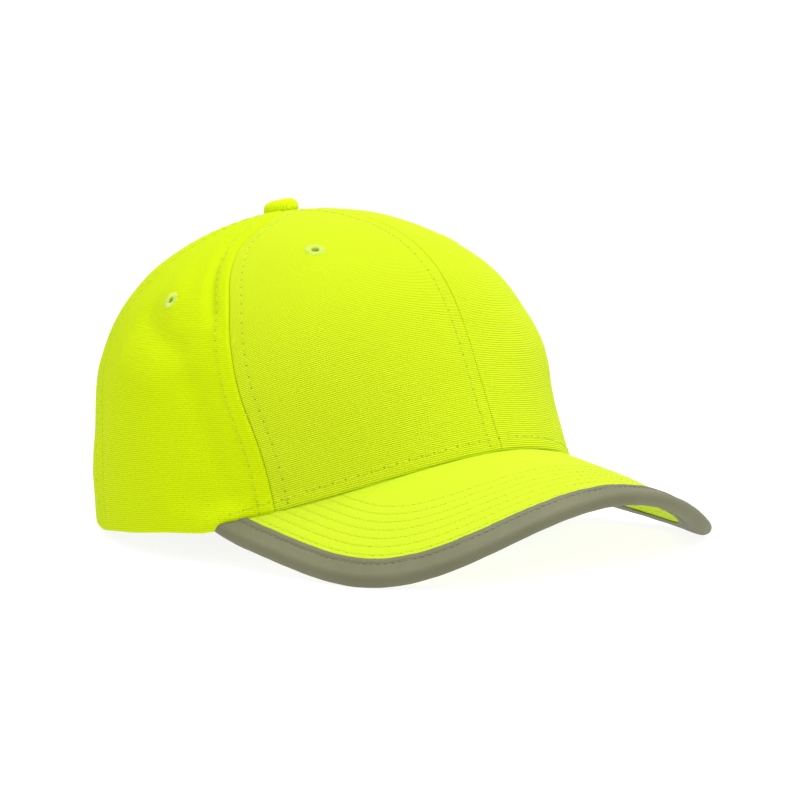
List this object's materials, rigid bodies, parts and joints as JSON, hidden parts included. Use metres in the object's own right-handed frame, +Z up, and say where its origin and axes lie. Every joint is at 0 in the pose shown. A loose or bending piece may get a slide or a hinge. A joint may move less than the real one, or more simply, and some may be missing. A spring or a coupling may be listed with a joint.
{
  "type": "bump cap",
  "caption": "Baseball-style bump cap: six-panel cloth crown, bound curved peak, touch-strap closure and a removable hard inner shell with foam pads.",
  "frame": {"origin": "on the surface that the cap rests on, under the middle of its outline", "axes": "+Z up, -Y out over the peak, +X to the wearer's left"},
  "size_m": [0.1782, 0.2426, 0.1225],
  "materials": {
    "crown_cloth": "fluorescent yellow-green ribbed twill",
    "buckram": "stiffened open-weave mesh",
    "seam_tape": "folded woven tape",
    "button_metal": "pressed tinplate",
    "thread": "satin-stitched thread",
    "board_plastic": "flexible polyethylene board",
    "reflective_tape": "silver-grey retroreflective tape",
    "sweatband_cloth": "brushed absorbent cloth",
    "foam": "closed-cell foam, fine skin",
    "strap_web": "folded cloth strap",
    "loop_pile": "brushed loop pile",
    "hook_pile": "moulded hook field",
    "shell_plastic": "moulded ABS, fine grain"
  },
  "bodies": {
    "root": {"arch_binding": "crown_cloth", "button_core": "button_metal", "button_cover": "crown_cloth", "button_washer": "button_metal", "crown_loop_dots": "loop_pile", "front_buckram_left": "buckram", "front_buckram_right": "buckram", "front_eyelets": "thread", "front_panel_left": "crown_cloth", "front_panel_right": "crown_cloth", "front_seam_tape": "seam_tape", "front_side_seam_tape_left": "seam_tape", "front_side_seam_tape_right": "seam_tape", "hook_strap_anchor": "strap_web", "loop_strap_anchor": "strap_web", "loop_strap_web": "strap_web", "loop_tape": "loop_pile", "peak_binding": "reflective_tape", "peak_board": "board_plastic", "peak_top_cover": "crown_cloth", "peak_under_cover": "crown_cloth", "rear_eyelets": "thread", "rear_panel_left": "crown_cloth", "rear_panel_right": "crown_cloth", "rear_seam_tape": "seam_tape", "rear_side_seam_tape_left": "seam_tape", "rear_side_seam_tape_right": "seam_tape", "side_eyelets": "thread", "side_panel_left": "crown_cloth", "side_panel_right": "crown_cloth", "sweatband_cover": "sweatband_cloth", "sweatband_foam": "foam"},
    "hook_strap": {"hook_strap_web": "strap_web", "hook_tape": "hook_pile"},
    "insert": {"bump_shell": "shell_plastic", "crown_pad": "foam", "front_pad": "foam", "side_pad_left": "foam", "side_pad_right": "foam", "rear_pad": "foam", "shell_hook_dots": "hook_pile"}
  },
  "joints": [
    {"name": "hook_strap_peel", "type": "hinge", "parent": "root", "child": "hook_strap", "pos_m": [-0.02877, 0.11195, 0.01271], "axis": [0.0866, 0.0557, 0.9947], "range_deg": [0, 95]},
    {"name": "insert_pull_out", "type": "slide", "parent": "root", "child": "insert", "axis": [0, -0.135, -0.9908], "range_m": [0, 0.03]}
  ]
}
